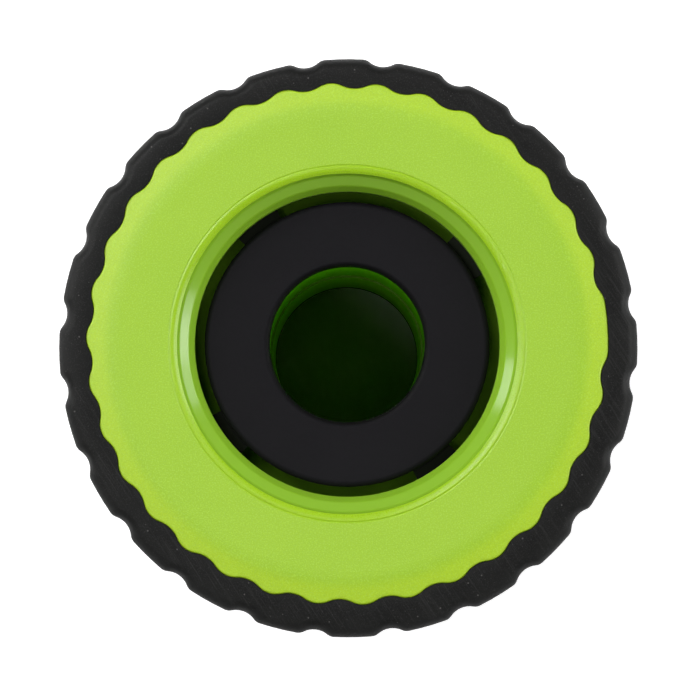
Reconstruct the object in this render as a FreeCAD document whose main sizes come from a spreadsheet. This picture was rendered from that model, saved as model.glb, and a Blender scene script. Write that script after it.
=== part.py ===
import FreeCAD, Part

# Foot massage roller: a fluted foam tread on a splined, hollow plastic core.
#
# The roller stands on its rear end. Z runs along the axis, z = 0 is the rear face and the
# front face is at overall_length. Every end piece is drawn once with its outer face at
# z = 0 and its depth along +Z, which is how it sits at the rear, and is turned over for
# the front. All sizes are in millimetres and angles in degrees.

import math
import os

import Sketcher
from FreeCAD import Placement, Rotation, Vector

DIMENSIONS = [
    ("overall_length", 150.0, "between the flat faces of the two end caps"),
    ("cap_proud", 0.5, "end cap face above the end of the tread"),
    ("tread_radius", 35.0, "over the lands of the tread"),
    ("flute_count", 24, "flutes round the tread"),
    ("flute_depth", 0.72, "land to bottom of a flute"),
    ("flute_half_angle", 3.75, "middle of a flute to the start of its land"),
    ("flute_corner", 1.4, "rounding from land to flute"),
    ("flute_phase", 8.4, "angle of the first flute"),
    ("tread_edge_rounding", 1.2, "edge between the tread's cut ends and its flutes"),
    ("tread_shift_x", 0.13, "tread's outside off the axis, because its wall is uneven"),
    ("tread_shift_y", -0.5, "the same, across"),
    ("spline_count", 34, "spline valleys round the core, one of them left out as the key"),
    ("spline_radius", 31.6, "over the crests of the splines"),
    ("spline_depth", 0.7, "crest to valley of a spline"),
    ("spline_crest", 2.9, "rounding of a crest"),
    ("spline_phase", 3.76, "angle of the key"),
    ("glue_gap", 0.05, "tread bore to splines"),
    ("core_wall_radius", 28.5, "inside of the core tube's outer wall"),
    ("core_hub_radius", 13.6, "outside of the core tube's inner wall"),
    ("core_web", 1.8, "thickness of a web of the core tube"),
    ("web_count", 8, "webs of the core tube"),
    ("port_radius", 3.2, "outside of a screw port"),
    ("pilot_radius", 1.5, "screw port's hole"),
    ("tube_radius", 11.85, "outside of the centre tube"),
    ("tube_bore_front", 9.75, "front half of the centre tube's bore"),
    ("tube_bore_rear", 9.45, "rear half of that bore"),
    ("tube_end_depth", 8.4, "centre tube's end below the cap's face"),
    ("slip_gap", 0.05, "between pieces that slide together at assembly"),
    ("flange_thickness", 3.0, "end cap's flange"),
    ("crown_radius", 28.4, "where the cap's face starts to fall away"),
    ("crown_drop", 0.75, "fall of the cap's face at the blank's edge"),
    ("crown_rounding", 9.0, "rounding from flat face to fall"),
    ("blank_radius", 32.4, "end cap before its splines are cut"),
    ("rim_rounding", 0.3, "edge of the cap's splined rim"),
    ("lip_line_radius", 21.75, "fine line round the lip"),
    ("lip_line_width", 0.34, "width of that line"),
    ("lip_line_depth", 0.07, "depth of that line"),
    ("lip_radius", 21.1, "top of the lip"),
    ("lip_foot_radius", 20.6, "foot of the lip"),
    ("lip_foot_depth", 0.32, "depth of the lip's foot"),
    ("lip_rounding", 0.85, "rounding of the lip"),
    ("cove_radius", 20.45, "where the mouth's wall turns inwards"),
    ("cove_depth", 0.85, "depth of that turn"),
    ("cove_rounding", 0.9, "rounding of that turn"),
    ("brink_radius", 19.15, "inner edge of the mouth's wall"),
    ("brink_depth", 2.05, "depth of that edge"),
    ("brink_rounding", 0.7, "rounding of that edge"),
    ("throat_radius", 18.5, "narrowest place of the mouth"),
    ("throat_depth", 3.3, "where the mouth gets that narrow"),
    ("catch_depth", 9.3, "shelf that holds the ring's hooks"),
    ("catch_radius", 19.9, "groove behind the shelf"),
    ("catch_end_depth", 12.6, "end of that groove"),
    ("socket_radius", 18.9, "socket below the groove"),
    ("socket_outer_radius", 21.9, "outside of the socket's wall"),
    ("floor_depth", 14.5, "socket's floor"),
    ("floor_thickness", 2.4, "socket's floor"),
    ("spigot_radius", 28.4, "cap's spigot in the core tube"),
    ("spigot_wall", 2.2, "thickness of the spigot"),
    ("spigot_depth", 11.0, "end of the spigot"),
    ("rib_thickness", 1.6, "stiffening rib of the cap"),
    ("rib_count", 8, "stiffening ribs of the cap"),
    ("rib_depth", 8.5, "end of a rib"),
    ("ring_face_depth", 5.5, "ring's face below the cap's face"),
    ("ring_radius", 17.3, "outside of the ring"),
    ("ring_hole_radius", 9.4, "hole of the ring"),
    ("ring_thickness", 2.6, "plate of the ring"),
    ("ring_rounding", 0.7, "both edges of the ring's face"),
    ("hook_count", 4, "hooks of the ring"),
    ("hook_width", 18.0, "angle that a hook takes up"),
    ("hook_phase", 36.6, "angle of the first hook"),
    ("finger_inner_radius", 15.4, "inside of a hook's finger"),
    ("finger_outer_radius", 16.9, "outside of a hook's finger"),
    ("finger_length", 7.0, "end of the finger below the ring's face"),
    ("hook_radius", 19.4, "tip of a hook"),
    ("hook_top", 4.1, "hook's holding face below the ring's face"),
    ("hook_tip_length", 1.2, "straight part of the hook's tip"),
    ("screw_circle_radius", 14.8, "screws from the axis"),
    ("screw_count", 4, "screws in one cap"),
    ("screw_hole_radius", 1.7, "hole for a screw in the cap's floor"),
    ("screw_head_radius", 2.4, "pan head"),
    ("screw_head_height", 1.6, "pan head"),
    ("screw_head_rounding", 0.8, "pan head's upper edge"),
    ("screw_shank_radius", 1.45, "over the thread"),
    ("screw_length", 12.0, "under the head"),
    ("screw_point", 1.5, "taper at the screw's end"),
    ("recess_width", 0.8, "arm of the cross recess"),
    ("recess_span", 2.8, "end to end of the cross recess"),
    ("recess_depth", 1.1, "cross recess"),
]

HORIZONTAL_AXIS, VERTICAL_AXIS = -1, -2
START, END, CENTRE = 1, 2, 3
FULL_TURN = 360
OVER = 1.0  # how far a cutter reaches beyond what it cuts
SINK = 0.5  # how far an added feature starts inside the solid that it grows from
CLOSE = 1e-4  # two lengths nearer than this are the same

doc = FreeCAD.newDocument("foot_massage_roller")


class Size:
    """A length from the sheet, as a number and as the expression that binds a property."""

    def __init__(self, value, text):
        self.value = value
        self.text = text

    def __add__(self, other):
        other = as_size(other)
        return Size(self.value + other.value, f"({self.text} + {other.text})")

    def __sub__(self, other):
        other = as_size(other)
        return Size(self.value - other.value, f"({self.text} - {other.text})")

    def __mul__(self, other):
        other = as_size(other)
        return Size(self.value * other.value, f"({self.text} * {other.text})")

    def __truediv__(self, other):
        other = as_size(other)
        return Size(self.value / other.value, f"({self.text} / {other.text})")


def as_size(number):
    return number if isinstance(number, Size) else Size(float(number), str(float(number)))


def make_sheet():
    """Writes the driving dimensions into a spreadsheet, one alias to a row."""
    sheet = doc.addObject("Spreadsheet::Sheet", "dimensions")
    for row, (alias, number, note) in enumerate(DIMENSIONS, start=1):
        sheet.set(f"A{row}", alias)
        sheet.set(f"B{row}", str(number))
        sheet.set(f"C{row}", note)
        sheet.setAlias(f"B{row}", alias)
    doc.recompute()
    return {alias: Size(float(sheet.get(alias)), f"dimensions.{alias}") for alias, _, _ in DIMENSIONS}


dim = make_sheet()
ZERO = as_size(0)


# ---------------------------------------------------------------- bodies and sketches

def new_body(label):
    body = doc.addObject("PartDesign::Body", label)
    body.Label = label
    return body


def origin_feature(body, role):
    return next(feature for feature in body.Origin.OriginFeatures if feature.Role == role)


def new_sketch(body, name, role, height=None):
    """A sketch on one of the body's origin planes, raised along its normal by height."""
    sketch = body.newObject("Sketcher::SketchObject", f"{body.Name}_{name}")
    sketch.AttachmentSupport = (origin_feature(body, role), [""])
    sketch.MapMode = "FlatFace"
    if height is not None:
        sketch.setExpression("AttachmentOffset.Base.z", height.text)
    return sketch


def new_feature(body, kind, name, **bound):
    """A PartDesign feature whose keyword properties are bound to sizes."""
    feature = body.newObject(f"PartDesign::{kind}", f"{body.Name}_{name}")
    for prop, size in bound.items():
        feature.setExpression(prop, size.text)
    return feature


def add_circle(sketch, radius):
    """A circle about the sketch's origin."""
    geometry = Part.Circle(Vector(0, 0, 0), Vector(0, 0, 1), radius.value)
    index = sketch.addGeometry(geometry, False)
    sketch.addConstraint(Sketcher.Constraint("Coincident", index, CENTRE, HORIZONTAL_AXIS, START))
    number = sketch.addConstraint(Sketcher.Constraint("Radius", index, radius.value))
    sketch.setExpression(f"Constraints[{number}]", radius.text)


def add_offset_circle(sketch, radius, distance):
    """A circle whose centre is on the sketch's horizontal axis."""
    geometry = Part.Circle(Vector(distance.value, 0, 0), Vector(0, 0, 1), radius.value)
    index = sketch.addGeometry(geometry, False)
    sketch.addConstraint(Sketcher.Constraint("PointOnObject", index, CENTRE, HORIZONTAL_AXIS))
    number = sketch.addConstraint(
        Sketcher.Constraint("DistanceX", HORIZONTAL_AXIS, START, index, CENTRE, distance.value)
    )
    sketch.setExpression(f"Constraints[{number}]", distance.text)
    number = sketch.addConstraint(Sketcher.Constraint("Radius", index, radius.value))
    sketch.setExpression(f"Constraints[{number}]", radius.text)


def add_outline(sketch, corners):
    """A closed outline of straight edges whose corners are bound to (x, y) sizes."""
    first = sketch.GeometryCount
    points = [Vector(x.value, y.value, 0) for x, y in corners]
    count = len(points)
    for number in range(count):
        edge = Part.LineSegment(points[number], points[(number + 1) % count])
        sketch.addGeometry(edge, False)
    for number in range(count):
        following = first + (number + 1) % count
        sketch.addConstraint(Sketcher.Constraint("Coincident", first + number, END, following, START))
    for number, (x, y) in enumerate(corners):
        bind_point(sketch, first + number, "DistanceX", x, VERTICAL_AXIS)
        bind_point(sketch, first + number, "DistanceY", y, HORIZONTAL_AXIS)


def bind_point(sketch, index, kind, size, axis):
    """Holds the start of an edge at a bound distance from an axis, or on it."""
    if size.value == 0:
        sketch.addConstraint(Sketcher.Constraint("PointOnObject", index, START, axis))
        return
    constraint = Sketcher.Constraint(kind, HORIZONTAL_AXIS, START, index, START, size.value)
    number = sketch.addConstraint(constraint)
    sketch.setExpression(f"Constraints[{number}]", size.text)


def add_bar(sketch, start, end, width):
    """A rectangle along the horizontal axis, from start to end, of the given width."""
    bottom, top = -width.value / 2, width.value / 2
    corners = [(start.value, bottom), (end.value, bottom), (end.value, top), (start.value, top)]
    points = [Vector(x, y, 0) for x, y in corners]
    first = sketch.GeometryCount
    for number in range(4):
        sketch.addGeometry(Part.LineSegment(points[number], points[(number + 1) % 4]), False)
    for number in range(4):
        following = first + (number + 1) % 4
        sketch.addConstraint(Sketcher.Constraint("Coincident", first + number, END, following, START))
    for number, kind in enumerate(["Horizontal", "Vertical", "Horizontal"]):
        sketch.addConstraint(Sketcher.Constraint(kind, first + number))
    sketch.addConstraint(
        Sketcher.Constraint("Symmetric", first, START, first + 2, END, HORIZONTAL_AXIS)
    )
    for index, point, size in ((first, START, start), (first, END, end)):
        constraint = Sketcher.Constraint("DistanceX", HORIZONTAL_AXIS, START, index, point, size.value)
        sketch.setExpression(f"Constraints[{sketch.addConstraint(constraint)}]", size.text)
    constraint = Sketcher.Constraint("DistanceY", first + 1, START, first + 1, END, width.value)
    sketch.setExpression(f"Constraints[{sketch.addConstraint(constraint)}]", width.text)


def polar(radius, degrees):
    angle = math.radians(degrees)
    return Vector(radius * math.cos(angle), radius * math.sin(angle), 0)


def add_wavy_outline(sketch, crest, valley, corner, half_angle, count, phase, left_out=()):
    """Valleys cut into a circle, with tangent arcs from land to valley on both sides.

    A valley's own arc has its centre outside the circle, at the distance where it is
    tangent to the two corner arcs, whose centres lie half_angle to each side.
    """
    corner_distance = crest - corner
    spread = math.cos(math.radians(half_angle))
    hollow = (corner**2 - valley**2 - corner_distance**2 + 2 * corner_distance * valley * spread) / (
        2 * (valley - corner_distance * spread - corner)
    )
    kept = [number for number in range(count) if number not in left_out]
    land_starts, land_ends = [], []
    for number in kept:
        middle = phase + number * FULL_TURN / count
        valley_centre = polar(valley + hollow, middle)
        joins = []
        for side in (-1, 1):
            corner_centre = polar(corner_distance, middle + side * half_angle)
            towards = (valley_centre - corner_centre).normalize()
            joins.append(corner_centre + towards * corner)
            land = polar(crest, middle + side * half_angle)
            between = (land + joins[-1]) * 0.5 - corner_centre
            bulge = corner_centre + between.normalize() * corner
            sketch.addGeometry(Part.Arc(land, bulge, joins[-1]), False)
        sketch.addGeometry(Part.Arc(joins[0], polar(valley, middle), joins[1]), False)
        land_ends.append(middle - half_angle)
        land_starts.append(middle + half_angle)
    for number, start in enumerate(land_starts):
        end = land_ends[(number + 1) % len(kept)]
        if end < start - CLOSE:
            end += FULL_TURN
        if end - start > CLOSE:
            ends = [polar(crest, angle) for angle in (start, (start + end) / 2, end)]
            sketch.addGeometry(Part.Arc(*ends), False)


def add_splines(sketch, growth, phase):
    """The core's splined outline with its key at the given angle, grown by growth."""
    count = int(dim["spline_count"].value)
    add_wavy_outline(
        sketch,
        crest=dim["spline_radius"].value + growth,
        valley=dim["spline_radius"].value - dim["spline_depth"].value + growth,
        corner=dim["spline_crest"].value + growth,
        half_angle=180 / count,
        count=count,
        phase=phase,
        left_out=(0,),
    )


def repeat(body, feature, name, count):
    """Repeats a feature evenly round the body's Z axis, and makes that the body's tip."""
    doc.recompute()
    pattern = new_feature(body, "PolarPattern", name)
    pattern.Originals = [feature]
    pattern.Axis = (origin_feature(body, "Z_Axis"), [""])
    pattern.Angle = FULL_TURN
    pattern.setExpression("Occurrences", count.text)
    body.Tip = pattern
    return pattern


def ring_edges(feature, radius, height):
    """Names of the feature's circular edges of that radius about Z, at that height."""
    found = []
    for number, edge in enumerate(feature.Shape.Edges, start=1):
        curve = edge.Curve
        if not isinstance(curve, Part.Circle) or abs(curve.Radius - radius.value) > CLOSE:
            continue
        if curve.Center.distanceToPoint(Vector(0, 0, height.value)) < CLOSE:
            found.append(f"Edge{number}")
    return found


def end_edges(feature):
    """Names of the edges round both flat ends of an extrusion."""
    boxes = [edge.BoundBox for edge in feature.Shape.Edges]
    return [f"Edge{number}" for number, box in enumerate(boxes, start=1) if box.ZLength < CLOSE]


def round_edges(body, base, names, radius, name):
    """A fillet of a bound radius on named edges of the base feature."""
    fillet = new_feature(body, "Fillet", name, Radius=radius)
    fillet.Base = (base, names)
    body.Tip = fillet
    return fillet


def turned_over(degrees, height):
    """Placement of an end piece at the front: face up at that height, then turned."""
    spin = Rotation(Vector(0, 0, 1), degrees)
    return Placement(Vector(0, 0, height), spin * Rotation(Vector(1, 0, 0), 180))


def upright(degrees, height):
    """Placement of an end piece at the rear: face down at that height, then turned."""
    return Placement(Vector(0, 0, height), Rotation(Vector(0, 0, 1), degrees))


# ---------------------------------------------------------------- the pieces

def make_tread(label):
    """Foam sleeve: flutes outside, and the core's splines and key in its bore."""
    body = new_body(label)
    outline = new_sketch(body, "outline", "XY_Plane")
    for axis in ("x", "y"):
        outline.setExpression(f"AttachmentOffset.Base.{axis}", dim[f"tread_shift_{axis}"].text)
    add_wavy_outline(
        outline,
        crest=dim["tread_radius"].value,
        valley=dim["tread_radius"].value - dim["flute_depth"].value,
        corner=dim["flute_corner"].value,
        half_angle=dim["flute_half_angle"].value,
        count=int(dim["flute_count"].value),
        phase=dim["flute_phase"].value,
    )
    length = dim["overall_length"] - dim["cap_proud"] * 2
    sleeve = new_feature(body, "Pad", "extrusion", Length=length)
    sleeve.Profile = outline
    doc.recompute()
    round_edges(body, sleeve, end_edges(sleeve), dim["tread_edge_rounding"], "cut_edges")
    doc.recompute()

    bore_sketch = new_sketch(body, "bore_section", "XY_Plane")
    add_splines(bore_sketch, dim["glue_gap"].value, dim["spline_phase"].value)
    bore = new_feature(body, "Pocket", "bore")
    bore.Profile = bore_sketch
    bore.Type = "ThroughAll"
    bore.Midplane = True
    body.Placement = upright(0, dim["cap_proud"].value)
    return body


def make_core_tube(label):
    """Extruded tube: splined outer wall, inner wall, webs and four screw ports."""
    body = new_body(label)
    length = dim["overall_length"] - dim["flange_thickness"] * 2
    counterbore = dim["floor_depth"] + dim["floor_thickness"] - dim["flange_thickness"] + dim["slip_gap"]
    ribbed_length = length - counterbore * 2

    wall_sketch = new_sketch(body, "wall_section", "XY_Plane")
    add_splines(wall_sketch, 0.0, 0.0)
    add_circle(wall_sketch, dim["core_wall_radius"])
    wall = new_feature(body, "Pad", "wall", Length=length)
    wall.Profile = wall_sketch

    web_sketch = new_sketch(body, "web_section", "XY_Plane", height=counterbore)
    web_start = dim["core_hub_radius"] - SINK
    add_bar(web_sketch, web_start, dim["core_wall_radius"] + SINK, dim["core_web"])
    web = new_feature(body, "Pad", "web", Length=ribbed_length)
    web.Profile = web_sketch
    repeat(body, web, "webs", dim["web_count"])

    hub_sketch = new_sketch(body, "hub_section", "XY_Plane", height=counterbore)
    add_circle(hub_sketch, dim["core_hub_radius"])
    hub = new_feature(body, "Pad", "hub", Length=ribbed_length)
    hub.Profile = hub_sketch

    port_sketch = new_sketch(body, "port_section", "XY_Plane", height=counterbore)
    add_offset_circle(port_sketch, dim["port_radius"], dim["screw_circle_radius"])
    port = new_feature(body, "Pad", "port", Length=ribbed_length)
    port.Profile = port_sketch
    repeat(body, port, "ports", dim["screw_count"])

    bore_sketch = new_sketch(body, "bore_section", "XY_Plane")
    add_circle(bore_sketch, dim["tube_radius"] + dim["slip_gap"])
    bore = new_feature(body, "Pocket", "bore")
    bore.Profile = bore_sketch
    bore.Type = "ThroughAll"
    bore.Midplane = True

    pilot_sketch = new_sketch(body, "pilot_section", "XY_Plane")
    add_offset_circle(pilot_sketch, dim["pilot_radius"], dim["screw_circle_radius"])
    pilot = new_feature(body, "Pocket", "pilot")
    pilot.Profile = pilot_sketch
    pilot.Type = "ThroughAll"
    pilot.Midplane = True
    repeat(body, pilot, "pilots", dim["screw_count"])

    body.Placement = upright(dim["spline_phase"].value, dim["flange_thickness"].value)
    return body


def make_centre_tube(label):
    """Plain tube through the whole roller, with a small step in the middle of its bore."""
    body = new_body(label)
    length = dim["overall_length"] - dim["tube_end_depth"] * 2
    sketch = new_sketch(body, "profile", "XZ_Plane")
    add_outline(sketch, [
        (dim["tube_bore_rear"], ZERO),
        (dim["tube_radius"], ZERO),
        (dim["tube_radius"], length),
        (dim["tube_bore_front"], length),
        (dim["tube_bore_front"], length / 2),
        (dim["tube_bore_rear"], length / 2),
    ])
    turn = new_feature(body, "Revolution", "tube")
    turn.Profile = sketch
    turn.ReferenceAxis = (sketch, ["V_Axis"])
    turn.Angle = FULL_TURN
    body.Tip = turn
    body.Placement = upright(0, dim["tube_end_depth"].value)
    return body


def cap_profile():
    """Half section of an end cap as (radius, depth) corners, before its splines are cut."""
    line_outer = dim["lip_line_radius"]
    line_inner = line_outer - dim["lip_line_width"]
    floor_back = dim["floor_depth"] + dim["floor_thickness"]
    bore = dim["tube_radius"] + dim["slip_gap"]
    spigot_inner = dim["spigot_radius"] - dim["spigot_wall"]
    return [
        (dim["crown_radius"], ZERO),
        (line_outer, ZERO),
        ((line_outer + line_inner) / 2, dim["lip_line_depth"]),
        (line_inner, ZERO),
        (dim["lip_radius"], ZERO),
        (dim["lip_foot_radius"], dim["lip_foot_depth"]),
        (dim["cove_radius"], dim["cove_depth"]),
        (dim["brink_radius"], dim["brink_depth"]),
        (dim["throat_radius"], dim["throat_depth"]),
        (dim["throat_radius"], dim["catch_depth"]),
        (dim["catch_radius"], dim["catch_depth"]),
        (dim["catch_radius"], dim["catch_end_depth"]),
        (dim["socket_radius"], dim["catch_end_depth"]),
        (dim["socket_radius"], dim["floor_depth"]),
        (bore, dim["floor_depth"]),
        (bore, floor_back),
        (dim["socket_outer_radius"], floor_back),
        (dim["socket_outer_radius"], dim["flange_thickness"]),
        (spigot_inner, dim["flange_thickness"]),
        (spigot_inner, dim["spigot_depth"]),
        (dim["spigot_radius"], dim["spigot_depth"]),
        (dim["spigot_radius"], dim["flange_thickness"]),
        (dim["blank_radius"], dim["flange_thickness"]),
        (dim["blank_radius"], dim["crown_drop"]),
    ]


def splined_rim_edges(feature):
    """Names of the edges between a cap's crowned face and its splined rim."""
    names = []
    inner = dim["spline_radius"].value - dim["spline_depth"].value - SINK
    for number, edge in enumerate(feature.Shape.Edges, start=1):
        box = edge.BoundBox
        middle = edge.valueAt((edge.FirstParameter + edge.LastParameter) / 2)
        near_face = CLOSE < box.ZMin and box.ZMax < dim["flange_thickness"].value / 2
        if near_face and math.hypot(middle.x, middle.y) > inner:
            names.append(f"Edge{number}")
    return names


def make_cap(label):
    """End cap: crowned splined flange, flared mouth, hook groove, floor and spigot."""
    body = new_body(label)
    sketch = new_sketch(body, "profile", "XZ_Plane")
    add_outline(sketch, cap_profile())
    blank = new_feature(body, "Revolution", "blank")
    blank.Profile = sketch
    blank.ReferenceAxis = (sketch, ["V_Axis"])
    blank.Angle = FULL_TURN
    doc.recompute()

    face = blank
    for name in ("crown", "lip", "cove", "brink"):
        depth = ZERO if name in ("crown", "lip") else dim[f"{name}_depth"]
        names = ring_edges(face, dim[f"{name}_radius"], depth)
        face = round_edges(body, face, names, dim[f"{name}_rounding"], name)
        doc.recompute()

    rim_sketch = new_sketch(body, "rim_section", "XY_Plane")
    add_circle(rim_sketch, dim["blank_radius"] + OVER)
    add_splines(rim_sketch, 0.0, 0.0)
    rim = new_feature(body, "Pocket", "splines")
    rim.Profile = rim_sketch
    rim.Type = "ThroughAll"
    rim.Midplane = True
    doc.recompute()
    round_edges(body, rim, splined_rim_edges(rim), dim["rim_rounding"], "rim_edge")
    doc.recompute()

    rib_top = dim["flange_thickness"] - SINK
    rib_end = dim["spigot_radius"] - dim["spigot_wall"] + SINK
    rib_sketch = new_sketch(body, "rib_section", "XY_Plane", height=rib_top)
    add_bar(rib_sketch, dim["socket_outer_radius"] - SINK, rib_end, dim["rib_thickness"])
    rib = new_feature(body, "Pad", "rib", Length=dim["rib_depth"] - rib_top)
    rib.Profile = rib_sketch
    repeat(body, rib, "ribs", dim["rib_count"])

    hole_sketch = new_sketch(body, "hole_section", "XY_Plane")
    add_offset_circle(hole_sketch, dim["screw_hole_radius"], dim["screw_circle_radius"])
    hole = new_feature(body, "Pocket", "hole")
    hole.Profile = hole_sketch
    hole.Type = "ThroughAll"
    hole.Midplane = True
    repeat(body, hole, "holes", dim["screw_count"])
    return body


def make_ring(label):
    """Snap-in ring: a plate with a rounded face and four hooked fingers behind it."""
    body = new_body(label)
    sketch = new_sketch(body, "plate_profile", "XZ_Plane")
    add_outline(sketch, [
        (dim["ring_hole_radius"], ZERO),
        (dim["ring_radius"], ZERO),
        (dim["ring_radius"], dim["ring_thickness"]),
        (dim["ring_hole_radius"], dim["ring_thickness"]),
    ])
    plate = new_feature(body, "Revolution", "plate")
    plate.Profile = sketch
    plate.ReferenceAxis = (sketch, ["V_Axis"])
    plate.Angle = FULL_TURN
    doc.recompute()
    names = ring_edges(plate, dim["ring_hole_radius"], ZERO)
    names += ring_edges(plate, dim["ring_radius"], ZERO)
    round_edges(body, plate, names, dim["ring_rounding"], "face_edges")
    doc.recompute()

    hook_sketch = new_sketch(body, "hook_profile", "XZ_Plane")
    root = dim["ring_thickness"] - SINK
    add_outline(hook_sketch, [
        (dim["finger_inner_radius"], root),
        (dim["finger_outer_radius"], root),
        (dim["finger_outer_radius"], dim["hook_top"]),
        (dim["hook_radius"], dim["hook_top"]),
        (dim["hook_radius"], dim["hook_top"] + dim["hook_tip_length"]),
        (dim["finger_outer_radius"], dim["finger_length"]),
        (dim["finger_inner_radius"], dim["finger_length"]),
    ])
    hook = new_feature(body, "Revolution", "hook", Angle=dim["hook_width"])
    hook.Profile = hook_sketch
    hook.ReferenceAxis = (hook_sketch, ["V_Axis"])
    hook.Midplane = True
    repeat(body, hook, "hooks", dim["hook_count"])
    return body


def make_screw(label):
    """Pan-head screw for plastic: top of the head at z = 0, point along +Z."""
    body = new_body(label)
    under_head = dim["screw_head_height"]
    sketch = new_sketch(body, "shank_profile", "XZ_Plane")
    add_outline(sketch, [
        (ZERO, ZERO),
        (dim["screw_shank_radius"], ZERO),
        (dim["screw_shank_radius"], under_head + dim["screw_length"] - dim["screw_point"]),
        (ZERO, under_head + dim["screw_length"]),
    ])
    shank = new_feature(body, "Revolution", "shank")
    shank.Profile = sketch
    shank.ReferenceAxis = (sketch, ["V_Axis"])
    shank.Angle = FULL_TURN

    head_sketch = new_sketch(body, "head_section", "XY_Plane")
    add_circle(head_sketch, dim["screw_head_radius"])
    head = new_feature(body, "Pad", "head", Length=under_head)
    head.Profile = head_sketch
    doc.recompute()
    names = ring_edges(head, dim["screw_head_radius"], ZERO)
    round_edges(body, head, names, dim["screw_head_rounding"], "head_edge")

    for name, degrees in (("recess_along", 0.0), ("recess_across", 90.0)):
        recess_sketch = new_sketch(body, f"{name}_section", "XY_Plane")
        recess_sketch.AttachmentOffset = upright(degrees, 0)
        add_bar(recess_sketch, dim["recess_span"] * -0.5, dim["recess_span"] / 2, dim["recess_width"])
        recess = new_feature(body, "Pocket", name, Length=dim["recess_depth"])
        recess.Profile = recess_sketch
        recess.Reversed = True
        body.Tip = recess
    return body


# ---------------------------------------------------------------- assembly

def place_ends(maker, stem, depth, degrees):
    """Makes an end piece twice, for the front and the rear, depth below the cap's face."""
    front, rear = maker(f"front_{stem}"), maker(f"rear_{stem}")
    front.Placement = turned_over(degrees, dim["overall_length"].value - depth)
    rear.Placement = upright(degrees, depth)
    return [front, rear]


def place_screws():
    """Four screws in each cap, one on the key's line and the rest evenly round."""
    made = []
    depth = dim["floor_depth"].value - dim["screw_head_height"].value
    count = int(dim["screw_count"].value)
    for number in range(count):
        degrees = dim["spline_phase"].value + number * FULL_TURN / count
        out = polar(dim["screw_circle_radius"].value, degrees)
        for end, placement in (
            ("front", turned_over(degrees, dim["overall_length"].value - depth)),
            ("rear", upright(degrees, depth)),
        ):
            screw = make_screw(f"{end}_cap_screw_{number + 1}")
            placement.Base = placement.Base + out
            screw.Placement = placement
            made.append(screw)
    return made


def build():
    pieces = [
        make_tread("tread_sleeve"),
        make_core_tube("core_tube"),
        make_centre_tube("centre_tube"),
    ]
    pieces += place_ends(make_cap, "end_cap", 0.0, dim["spline_phase"].value)
    pieces += place_ends(make_ring, "snap_ring", dim["ring_face_depth"].value, dim["hook_phase"].value)
    pieces += place_screws()
    doc.recompute()
    return pieces


def check(pieces):
    """Stops if an object failed to build or a piece is empty, open or not one solid."""
    for item in doc.Objects:
        if {"Invalid", "Error"} & set(item.State):
            raise RuntimeError(f"{item.Label} failed: {item.State}")
    for piece in pieces:
        shape = piece.Shape
        if shape.isNull() or not shape.isValid() or len(shape.Solids) != 1:
            raise RuntimeError(f"{piece.Label} is not one valid solid")
        box = shape.BoundBox
        print(
            f"{piece.Label:20s} volume {shape.Volume:10.1f}  radius {box.XMax:6.2f}"
            f"  z {box.ZMin:7.2f} to {box.ZMax:7.2f}  faces {len(shape.Faces)}"
        )


def write(pieces):
    os.makedirs("parts", exist_ok=True)
    for piece in pieces:
        piece.Shape.exportStep(f"parts/{piece.Label}.step")


pieces = build()
check(pieces)
write(pieces)
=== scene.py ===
import math

import bmesh
import bpy
from mathutils import Matrix, Vector

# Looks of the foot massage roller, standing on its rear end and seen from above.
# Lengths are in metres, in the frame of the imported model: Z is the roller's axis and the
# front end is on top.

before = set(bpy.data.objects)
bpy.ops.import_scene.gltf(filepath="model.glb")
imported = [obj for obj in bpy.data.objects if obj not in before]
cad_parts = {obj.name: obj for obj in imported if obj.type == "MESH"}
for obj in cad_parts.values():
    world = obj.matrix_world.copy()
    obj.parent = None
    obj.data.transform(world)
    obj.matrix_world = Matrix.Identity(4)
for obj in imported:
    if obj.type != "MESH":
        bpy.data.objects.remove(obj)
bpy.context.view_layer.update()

MM = 0.001
TOP = 150 * MM
CAP_PROUD = 0.5 * MM  # the cap's face above the end of the tread
TREAD_BORE_RADIUS = 31.8 * MM  # over the spline crests, a little outside them
TREAD_CROWN = 46.0  # fall of the cut end, per metre squared outside that radius
CAVITY_RADIUS = 19.95 * MM  # round the cavity behind the mouth
GRAIN_RADIUS = 21.4 * MM  # the face is grained outside this, the lip smooth inside
FLOOR_RADIUS = 6.0
FLOOR_GLOW = 0.60
AIR_AT_HORIZON = 0.40
AIR_OVERHEAD = 0.04
AIR_FADE_HEIGHT = 0.6  # sine of the height at which the air is down to AIR_OVERHEAD

CAMERA_DISTANCE = 1.33
SENSOR_WIDTH = 36.0
LENS = 566.0
CAMERA_PITCH = 0.7285  # degrees
CAMERA_YAW = -0.052  # degrees
FRONT_CENTRE_IN_VIEW = (-0.33 * MM, 0.75 * MM)

LIME = (0.310, 0.532, 0.011)
LIME_LIGHT = (0.325, 0.546, 0.014)
# painted light: a lighter lime for the outer rim of the cap faces
LIME_RIM_PAINTED_LIGHT = (0.39, 0.595, 0.013)
LIME_DEEP = (0.27, 0.49, 0.015)
# painted glints: light and whitish specks standing for the sparkle of the eroded grain
LIME_POINT_GLINT = (0.48, 0.73, 0.07)
LIME_PALE_GLINT = (0.36, 0.60, 0.11)
# painted shade: a darker lime for the wall of the mouth
LIME_MOUTH_PAINTED_SHADE = (0.250, 0.475, 0.026)
# painted shade: a dark lime for the cavity behind the mouth
LIME_CAVITY_PAINTED_SHADE = (0.16, 0.36, 0.002)
BORE_GREEN = (0.36, 0.72, 0.003)
BORE_LIGHT = (0.40, 0.76, 0.004)
# painted shade: a dark green for the ledges in the bore
BORE_STEP_PAINTED_SHADE = (0.10, 0.24, 0.001)
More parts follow.
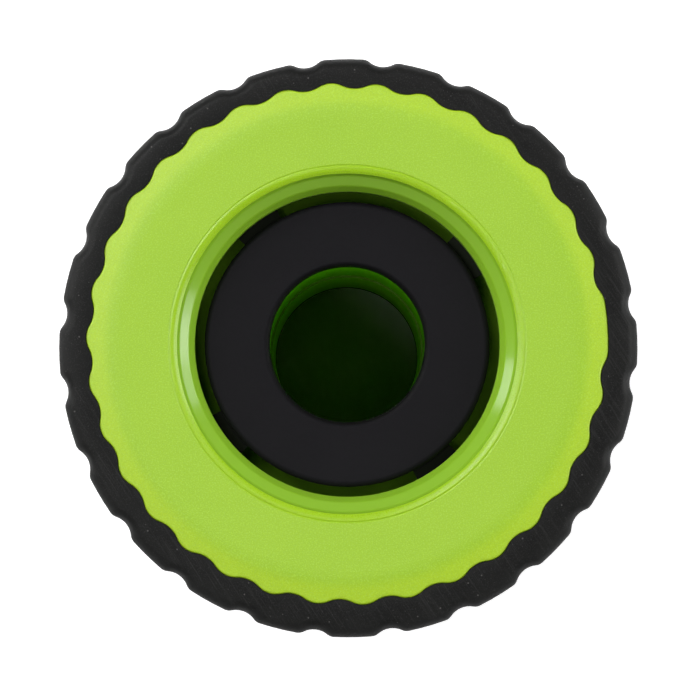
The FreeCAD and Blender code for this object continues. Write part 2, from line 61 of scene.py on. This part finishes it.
# painted glow: faint green light given off by the bore, dimmer near the bottom
BORE_PAINTED_GLOW = (0.40, 1.0, 0.0)
BORE_PAINTED_GLOW_END = (0.165, 0.41, 0.0)
BORE_PAINTED_GLOW_STRENGTH = 0.0085
FOAM_BLACK = (0.0042, 0.0044, 0.0041)
FOAM_GREY = (0.0070, 0.0072, 0.0068)
# painted light: a lighter foam for the outer edge of the cut ends
FOAM_EDGE_PAINTED_LIGHT = (0.0185, 0.0188, 0.0180)
FOAM_STREAK = (0.030, 0.030, 0.029)
FOAM_SPECK = (0.13, 0.125, 0.12)
RING_BLACK = (0.0078, 0.0072, 0.0090)
RING_GREY = (0.0086, 0.0080, 0.0099)
# painted shade: a darker black for the bevel round the hole
RING_EDGE_PAINTED_SHADE = (0.0038, 0.0035, 0.0044)
# painted light: a lighter, greenish black for the outer edge and hooks
RING_HOOK_PAINTED_LIGHT = (0.0140, 0.0180, 0.0095)
ZINC = (0.60, 0.60, 0.57)
ZINC_DULL = (0.48, 0.48, 0.47)
PAPER = (0.93, 0.93, 0.93)
PAPER_LIGHT = (0.96, 0.96, 0.96)
WHITE = (1.0, 1.0, 1.0)


# ---------------------------------------------------------------- node helpers

class Shader:
    """A material being wired: thin helpers that add a node and join its inputs."""

    def __init__(self, name):
        self.material = bpy.data.materials.new(name)
        self.material.use_nodes = True
        self.tree = self.material.node_tree
        self.tree.nodes.clear()
        self.output = self.tree.nodes.new("ShaderNodeOutputMaterial")
        self.surface = self.tree.nodes.new("ShaderNodeBsdfPrincipled")
        self.join(self.surface.outputs["BSDF"], self.output.inputs["Surface"])
        self.place = self.tree.nodes.new("ShaderNodeTexCoord").outputs["Object"]

    def join(self, source, target):
        self.tree.links.new(source, target)

    def feed(self, socket, value):
        """Links a socket to another node's output, or sets it to a plain value."""
        if isinstance(value, bpy.types.NodeSocket):
            self.join(value, socket)
        else:
            socket.default_value = value

    def math(self, operation, *values, clamp=False):
        node = self.tree.nodes.new("ShaderNodeMath")
        node.operation = operation
        node.use_clamp = clamp
        for socket, value in zip(node.inputs, values):
            self.feed(socket, value)
        return node.outputs[0]

    def times(self, first, second):
        return self.math("MULTIPLY", first, second)

    def noise(self, scale, detail=3.0, roughness=0.5, at=None):
        node = self.tree.nodes.new("ShaderNodeTexNoise")
        self.join(at or self.place, node.inputs["Vector"])
        node.inputs["Scale"].default_value = scale
        node.inputs["Detail"].default_value = detail
        node.inputs["Roughness"].default_value = roughness
        return node.outputs["Fac"]

    def cells(self, scale):
        """Distance to the nearest of many scattered points."""
        node = self.tree.nodes.new("ShaderNodeTexVoronoi")
        self.join(self.place, node.inputs["Vector"])
        node.inputs["Scale"].default_value = scale
        return node.outputs["Distance"]

    def spread(self, value, low, high, to_low=0.0, to_high=1.0):
        """Maps a value smoothly from one range to another, held at both ends."""
        node = self.tree.nodes.new("ShaderNodeMapRange")
        node.interpolation_type = "SMOOTHSTEP"
        self.feed(node.inputs["Value"], value)
        for name, number in (
            ("From Min", low), ("From Max", high), ("To Min", to_low), ("To Max", to_high),
        ):
            node.inputs[name].default_value = number
        return node.outputs["Result"]

    def mix(self, factor, first, second):
        node = self.tree.nodes.new("ShaderNodeMix")
        node.data_type = "RGBA"
        self.feed(node.inputs["Factor"], factor)
        for name, colour in (("A", first), ("B", second)):
            socket = next(s for s in node.inputs if s.name == name and s.type == "RGBA")
            self.feed(socket, (*colour, 1.0) if isinstance(colour, tuple) else colour)
        return next(s for s in node.outputs if s.type == "RGBA")

    def turned(self, degrees, stretch=(1.0, 1.0, 1.0)):
        """Object coordinates turned about Z and stretched, for grain with a direction."""
        node = self.tree.nodes.new("ShaderNodeMapping")
        node.vector_type = "TEXTURE"
        node.inputs["Rotation"].default_value = (0.0, 0.0, math.radians(degrees))
        node.inputs["Scale"].default_value = stretch
        self.join(self.place, node.inputs["Vector"])
        return node.outputs["Vector"]

    def axes(self, vector=None):
        node = self.tree.nodes.new("ShaderNodeSeparateXYZ")
        self.join(vector or self.place, node.inputs["Vector"])
        return node.outputs

    def radius(self):
        """Distance from the roller's axis."""
        x, y, _ = self.axes()
        squares = self.math("ADD", self.times(x, x), self.times(y, y))
        return self.math("SQRT", squares)

    def from_middle(self):
        """Distance along the axis from the middle of the roller, towards either end."""
        return self.math("ABSOLUTE", self.math("SUBTRACT", self.axes()[2], TOP / 2))

    def deep_inside(self):
        """1 in the cavity behind the mouth of either end cap, 0 near its face."""
        depth = self.spread(self.from_middle(), TOP / 2 - 3 * MM, TOP / 2 - 6 * MM)
        return self.times(depth, self.spread(self.radius(), 20.2 * MM, CAVITY_RADIUS))

    def near_end(self, depth):
        """1 at either end of the tread, 0 from the given depth below it."""
        end = TOP / 2 - CAP_PROUD
        return self.spread(self.from_middle(), end - depth, end)

    def facing_end(self):
        """1 on faces that look along the axis, 0 on faces round it."""
        normal = self.tree.nodes.new("ShaderNodeNewGeometry").outputs["True Normal"]
        return self.spread(self.math("ABSOLUTE", self.axes(normal)[2]), 0.85, 0.97)

    def bump(self, height, distance, strength=1.0, under=None):
        node = self.tree.nodes.new("ShaderNodeBump")
        node.inputs["Distance"].default_value = distance
        node.inputs["Strength"].default_value = strength
        self.join(height, node.inputs["Height"])
        if under is not None:
            self.join(under, node.inputs["Normal"])
        return node.outputs["Normal"]

    def set(self, **values):
        """Feeds the surface shader's sockets, named with underscores for spaces."""
        for name, value in values.items():
            self.feed(self.surface.inputs[name.replace("_", " ")], value)


def lime_plastic():
    """Satin lime mouldings: fine eroded grain on the faces with painted glints, a smoother
    lip and mouth; painted light on the outer rim, painted shade on the mouth wall and in the
    cavity.
    """
    s = Shader("lime_plastic_satin")
    radius = s.radius()
    inside = s.deep_inside()
    grained = s.spread(radius, GRAIN_RADIUS, GRAIN_RADIUS + 0.4 * MM)
    cloud = s.noise(60.0, detail=4.0)
    tint = s.mix(s.spread(cloud, 0.35, 0.65), LIME, LIME_LIGHT)
    # painted light: the face turns lighter towards its outer rim, where it catches the light
    tint = s.mix(s.spread(radius, 28.4 * MM, 30.0 * MM), tint, LIME_RIM_PAINTED_LIGHT)
    # painted shade: the same plastic made darker on the mouth wall, inside the recess
    tint = s.mix(s.spread(radius, 20.75 * MM, 20.45 * MM), tint, LIME_MOUTH_PAINTED_SHADE)
    # painted shade: the cavity behind the mouth is made dark, where shade falls
    tint = s.mix(inside, tint, LIME_CAVITY_PAINTED_SHADE)
    grain = s.noise(6400.0, detail=2.0, roughness=0.6)
    glint_points = s.spread(s.noise(5800.0, detail=0.0), 0.50, 0.72)
    glint_specks = s.spread(s.noise(6700.0, detail=0.0), 0.50, 0.70)
    pits = s.spread(s.noise(6200.0, detail=0.0), 0.50, 0.30)
    # the two lighter kinds of speck are painted glints of the grain; the darker ones are
    # grain tone
    for spots, strength, colour in (
        (glint_points, 0.33, LIME_POINT_GLINT), (glint_specks, 0.24, LIME_PALE_GLINT), (pits, 0.33, LIME_DEEP),
    ):
        tint = s.mix(s.times(s.times(spots, grained), strength), tint, colour)
    fine = s.bump(s.times(grain, grained), 0.05 * MM, 0.5)
    swirl = s.bump(s.noise(240.0, detail=2.0), 0.02 * MM, 0.2, under=fine)
    lip_rough = s.spread(radius, 20.5 * MM, 20.9 * MM, 0.16, 0.30)
    rough = s.math("ADD", lip_rough, s.times(grained, 0.14))
    rough = s.math("ADD", rough, s.spread(grain, 0.3, 0.7, -0.04, 0.06))
    rough = s.math("ADD", rough, s.times(inside, 0.7), clamp=True)
    s.set(Base_Color=tint, Roughness=rough, Normal=swirl)
    s.set(IOR=1.49, Subsurface_Weight=0.12, Subsurface_Scale=0.0012,
          Subsurface_Radius=(0.7, 1.0, 0.2))
    return s.material


def bore_plastic():
    """The same lime in the bore, with a painted faint green glow in place of the light its
    walls let through, and painted shade on its ledges.
    """
    s = Shader("lime_plastic_bore")
    cloud = s.noise(120.0, detail=3.0, at=s.turned(0.0, (1.0, 1.0, 4.0)))
    drawn = s.noise(900.0, detail=2.0, at=s.turned(0.0, (1.0, 1.0, 30.0)))
    tint = s.mix(s.spread(cloud, 0.3, 0.7), BORE_GREEN, BORE_LIGHT)
    # painted shade: faces in the bore that look along the axis are made darker, so the ledge
    # catches no light
    tint = s.mix(s.facing_end(), tint, BORE_STEP_PAINTED_SHADE)
    # painted glow: the bore gives off a faint green light of its own, fading towards the
    # bottom
    glow = s.mix(s.spread(s.axes()[2], 5.0 * MM, TOP / 2), BORE_PAINTED_GLOW_END, BORE_PAINTED_GLOW)
    s.set(Base_Color=tint, Roughness=s.spread(drawn, 0.3, 0.7, 0.34, 0.46),
          Normal=s.bump(drawn, 0.02 * MM, 0.3))
    s.set(IOR=1.49, Specular_IOR_Level=0.08)
    s.set(Emission_Color=glow, Emission_Strength=BORE_PAINTED_GLOW_STRENGTH)
    return s.material


def tread_foam():
    """Black rubber foam: knife lines and open cells on its cut ends, a fine skin round it,
    painted light on the outer edge of the ends.
    """
    s = Shader("tread_foam_black")
    end = s.facing_end()
    cuts = s.noise(4200.0, detail=3.0, roughness=0.7, at=s.turned(-57.0, (30.0, 1.0, 1.0)))
    wide_cuts = s.noise(900.0, detail=3.0, at=s.turned(-57.0, (14.0, 1.0, 1.0)))
    x, y, _ = s.axes()
    to_cut_side = s.times(s.math("SUBTRACT", x, y), 3.0)  # more knife lines towards +X, -Y
    patches = s.spread(s.math("ADD", s.noise(75.0, detail=2.0), to_cut_side), 0.38, 0.60)
    cells = s.noise(6500.0, detail=1.0)
    specks = s.spread(s.cells(700.0), 0.085, 0.055)
    dust = s.spread(s.cells(1500.0), 0.13, 0.08)
    pores = s.spread(s.cells(1100.0), 0.34, 0.10)
    cloud = s.noise(140.0, detail=5.0, roughness=0.6)
    fuzz = s.times(s.noise(1900.0, detail=3.0, roughness=0.6), 2.2)
    skin = s.math("SUBTRACT", fuzz, pores)
    tint = s.mix(s.spread(cloud, 0.3, 0.7), FOAM_BLACK, FOAM_GREY)
    out = s.math("SUBTRACT", s.radius(), TREAD_BORE_RADIUS)
    # painted light: the cut ends turn lighter towards their rounded outer edge, where they
    # catch the light
    painted_edge_light = s.times(s.spread(out, 0.3 * MM, 3.2 * MM, 0.0, 0.55), s.near_end(1.2 * MM))
    tint = s.mix(painted_edge_light, tint, FOAM_EDGE_PAINTED_LIGHT)
    streak = s.times(s.spread(cuts, 0.50, 0.75), patches)
    cut_tint = tint
    for spots, strength, colour in (
        (streak, 0.60, FOAM_STREAK), (s.spread(cells, 0.50, 0.75), 0.45, FOAM_STREAK),
        (dust, 0.14, FOAM_SPECK), (specks, 0.55, FOAM_SPECK),
    ):
        cut_tint = s.mix(s.times(spots, strength), cut_tint, colour)
    tint = s.mix(end, tint, cut_tint)
    relief = s.math("ADD", s.times(cuts, patches), s.times(wide_cuts, 0.5))
    relief = s.math("ADD", relief, s.times(cells, 0.4))
    height = s.math("ADD", s.times(relief, end), s.times(skin, s.math("SUBTRACT", 1.0, end)))
    crown = s.times(s.times(out, out), -TREAD_CROWN)
    normal = s.bump(height, 0.04 * MM, 0.6, under=s.bump(crown, 1.0))
    rough = s.math("ADD", s.spread(cells, 0.3, 0.7, 0.36, 0.46),
                   s.spread(out, 2.2 * MM, 3.0 * MM, 0.03, 0.25))
    s.set(Base_Color=tint, Roughness=rough, Normal=normal)
    s.set(IOR=1.46, Specular_IOR_Level=0.15)
    s.set(Sheen_Weight=0.02, Sheen_Roughness=0.5)
    return s.material


def black_plastic():
    """Matt black moulding with a very fine even grain, painted shade round the hole and
    painted light on the outer edge and hooks.
    """
    s = Shader("ring_plastic_black")
    grain = s.noise(3300.0, detail=2.0)
    cloud = s.noise(90.0, detail=2.0)
    radius = s.radius()
    tint = s.mix(s.spread(cloud, 0.3, 0.7), RING_BLACK, RING_GREY)
    # painted shade: the bevel round the hole is made darker
    tint = s.mix(s.spread(radius, 10.2 * MM, 9.7 * MM), tint, RING_EDGE_PAINTED_SHADE)
    # painted light: the outer edge and hooks are made lighter and greenish, as if lit by the
    # green cavity round them
    tint = s.mix(s.spread(radius, 17.3 * MM, 17.6 * MM), tint, RING_HOOK_PAINTED_LIGHT)
    s.set(Base_Color=tint, Roughness=s.spread(grain, 0.3, 0.7, 0.50, 0.60),
          Normal=s.bump(grain, 0.02 * MM, 0.35))
    s.set(IOR=1.46, Specular_IOR_Level=0.10)
    return s.material


def zinc_steel():
    """Zinc-plated screws, faintly mottled."""
    s = Shader("screw_zinc")
    marks = s.noise(2500.0, detail=2.0)
    s.set(Base_Color=s.mix(s.spread(marks, 0.3, 0.7), ZINC, ZINC_DULL),
          Roughness=s.spread(s.noise(900.0), 0.3, 0.7, 0.28, 0.42),
          Normal=s.bump(marks, 0.01 * MM, 0.3))
    s.set(Metallic=1.0)
    return s.material


def dress(material, nodes):
    """Gives CAD nodes one material on all their faces."""
    for node in nodes:
        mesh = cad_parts[node].data
        mesh.materials.clear()
        mesh.materials.append(material)


# ---------------------------------------------------------------- stage

def make_floor():
    """Pale light table: a disc with a soft grain that glows outside the roller's foot."""
    mesh = bpy.data.meshes.new("studio_floor")
    form = bmesh.new()
    bmesh.ops.create_circle(form, cap_ends=True, segments=96, radius=FLOOR_RADIUS)
    form.to_mesh(mesh)
    form.free()
    floor = bpy.data.objects.new("studio_floor", mesh)
    bpy.context.collection.objects.link(floor)
    s = Shader("floor_paper")
    s.set(Base_Color=s.mix(s.noise(8.0), PAPER, PAPER_LIGHT), Roughness=0.9)
    s.set(Emission_Color=(*WHITE, 1.0),
          Emission_Strength=s.spread(s.radius(), 33.0 * MM, 37.0 * MM, 0.0, FLOOR_GLOW))
    mesh.materials.append(s.material)


def make_light(name, place, size, power):
    """A rectangular white light that faces the middle of the front end."""
    data = bpy.data.lights.new(name, "AREA")
    data.shape = "RECTANGLE"
    data.size, data.size_y = size
    data.energy = power
    lamp = bpy.data.objects.new(name, data)
    lamp.location = place
    towards = Vector((0.0, 0.0, TOP)) - Vector(place)
    lamp.rotation_euler = towards.to_track_quat("-Z", "Y").to_euler()
    bpy.context.collection.objects.link(lamp)


def make_lights():
    make_light("softbox_left", (-1.0, 0.28, 0.95), (0.9, 1.0), 7.7)
    make_light("softbox_right", (1.10, 0.05, 0.62), (0.9, 0.9), 9.4)
    make_light("soft_upper_left", (-0.55, 0.75, 1.45), (0.7, 0.7), 6.6)
    make_light("overhead_left", (-1.0, 0.60, 2.2), (0.9, 1.6), 11.0)
    make_light("overhead_right", (0.95, 0.75, 2.2), (0.9, 1.2), 6.9)
    # the two low ones are what the sloped wall of the mouth reflects
    make_light("low_left", (-1.16, 0.31, 0.36), (0.36, 0.34), 2.2)
    make_light("low_right", (1.20, -0.02, 0.34), (0.36, 0.30), 1.0)
    make_light("bore_light", (-0.20, -0.24, 2.3), (0.6, 0.2), 4.0)


def make_air():
    """White surroundings, brightest at the horizon and below, dim overhead."""
    world = bpy.data.worlds.new("studio_air")
    world.use_nodes = True
    tree = world.node_tree
    background = tree.nodes["Background"]
    background.inputs["Color"].default_value = (*WHITE, 1.0)
    direction = tree.nodes.new("ShaderNodeTexCoord").outputs["Generated"]
    split = tree.nodes.new("ShaderNodeSeparateXYZ")
    fade = tree.nodes.new("ShaderNodeMapRange")
    tree.links.new(direction, split.inputs["Vector"])
    tree.links.new(split.outputs["Z"], fade.inputs["Value"])
    tree.links.new(fade.outputs["Result"], background.inputs["Strength"])
    fade.inputs["From Max"].default_value = AIR_FADE_HEIGHT
    fade.inputs["To Min"].default_value = AIR_AT_HORIZON
    fade.inputs["To Max"].default_value = AIR_OVERHEAD
    bpy.context.scene.world = world


def make_camera():
    """Long lens over the front end, leaning a little so that the bore is seen at a slant."""
    data = bpy.data.cameras.new("camera")
    data.sensor_width = SENSOR_WIDTH
    data.lens = LENS
    data.clip_start = 0.05
    data.clip_end = 30.0
    camera = bpy.data.objects.new("camera", data)
    pitch = Matrix.Rotation(math.radians(CAMERA_PITCH), 4, "X")
    lean = pitch @ Matrix.Rotation(math.radians(CAMERA_YAW), 4, "Y")
    front_centre = Vector((*FRONT_CENTRE_IN_VIEW, -CAMERA_DISTANCE))
    camera.matrix_world = lean
    camera.matrix_world.translation = Vector((0.0, 0.0, TOP)) - lean @ front_centre
    bpy.context.collection.objects.link(camera)
    bpy.context.scene.camera = camera


def set_picture():
    scene = bpy.context.scene
    scene.view_settings.view_transform = "Standard"
    scene.view_settings.look = "None"
    scene.cycles.diffuse_bounces = 10
    scene.cycles.glossy_bounces = 6


make_camera()
make_floor()
make_lights()
make_air()
set_picture()

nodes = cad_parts
dress(tread_foam(), ["tread_sleeve"])
dress(lime_plastic(), ["core_tube", "front_end_cap", "rear_end_cap"])
dress(bore_plastic(), ["centre_tube"])
dress(black_plastic(), ["front_snap_ring", "rear_snap_ring"])
dress(zinc_steel(), [name for name in nodes if "screw" in name])
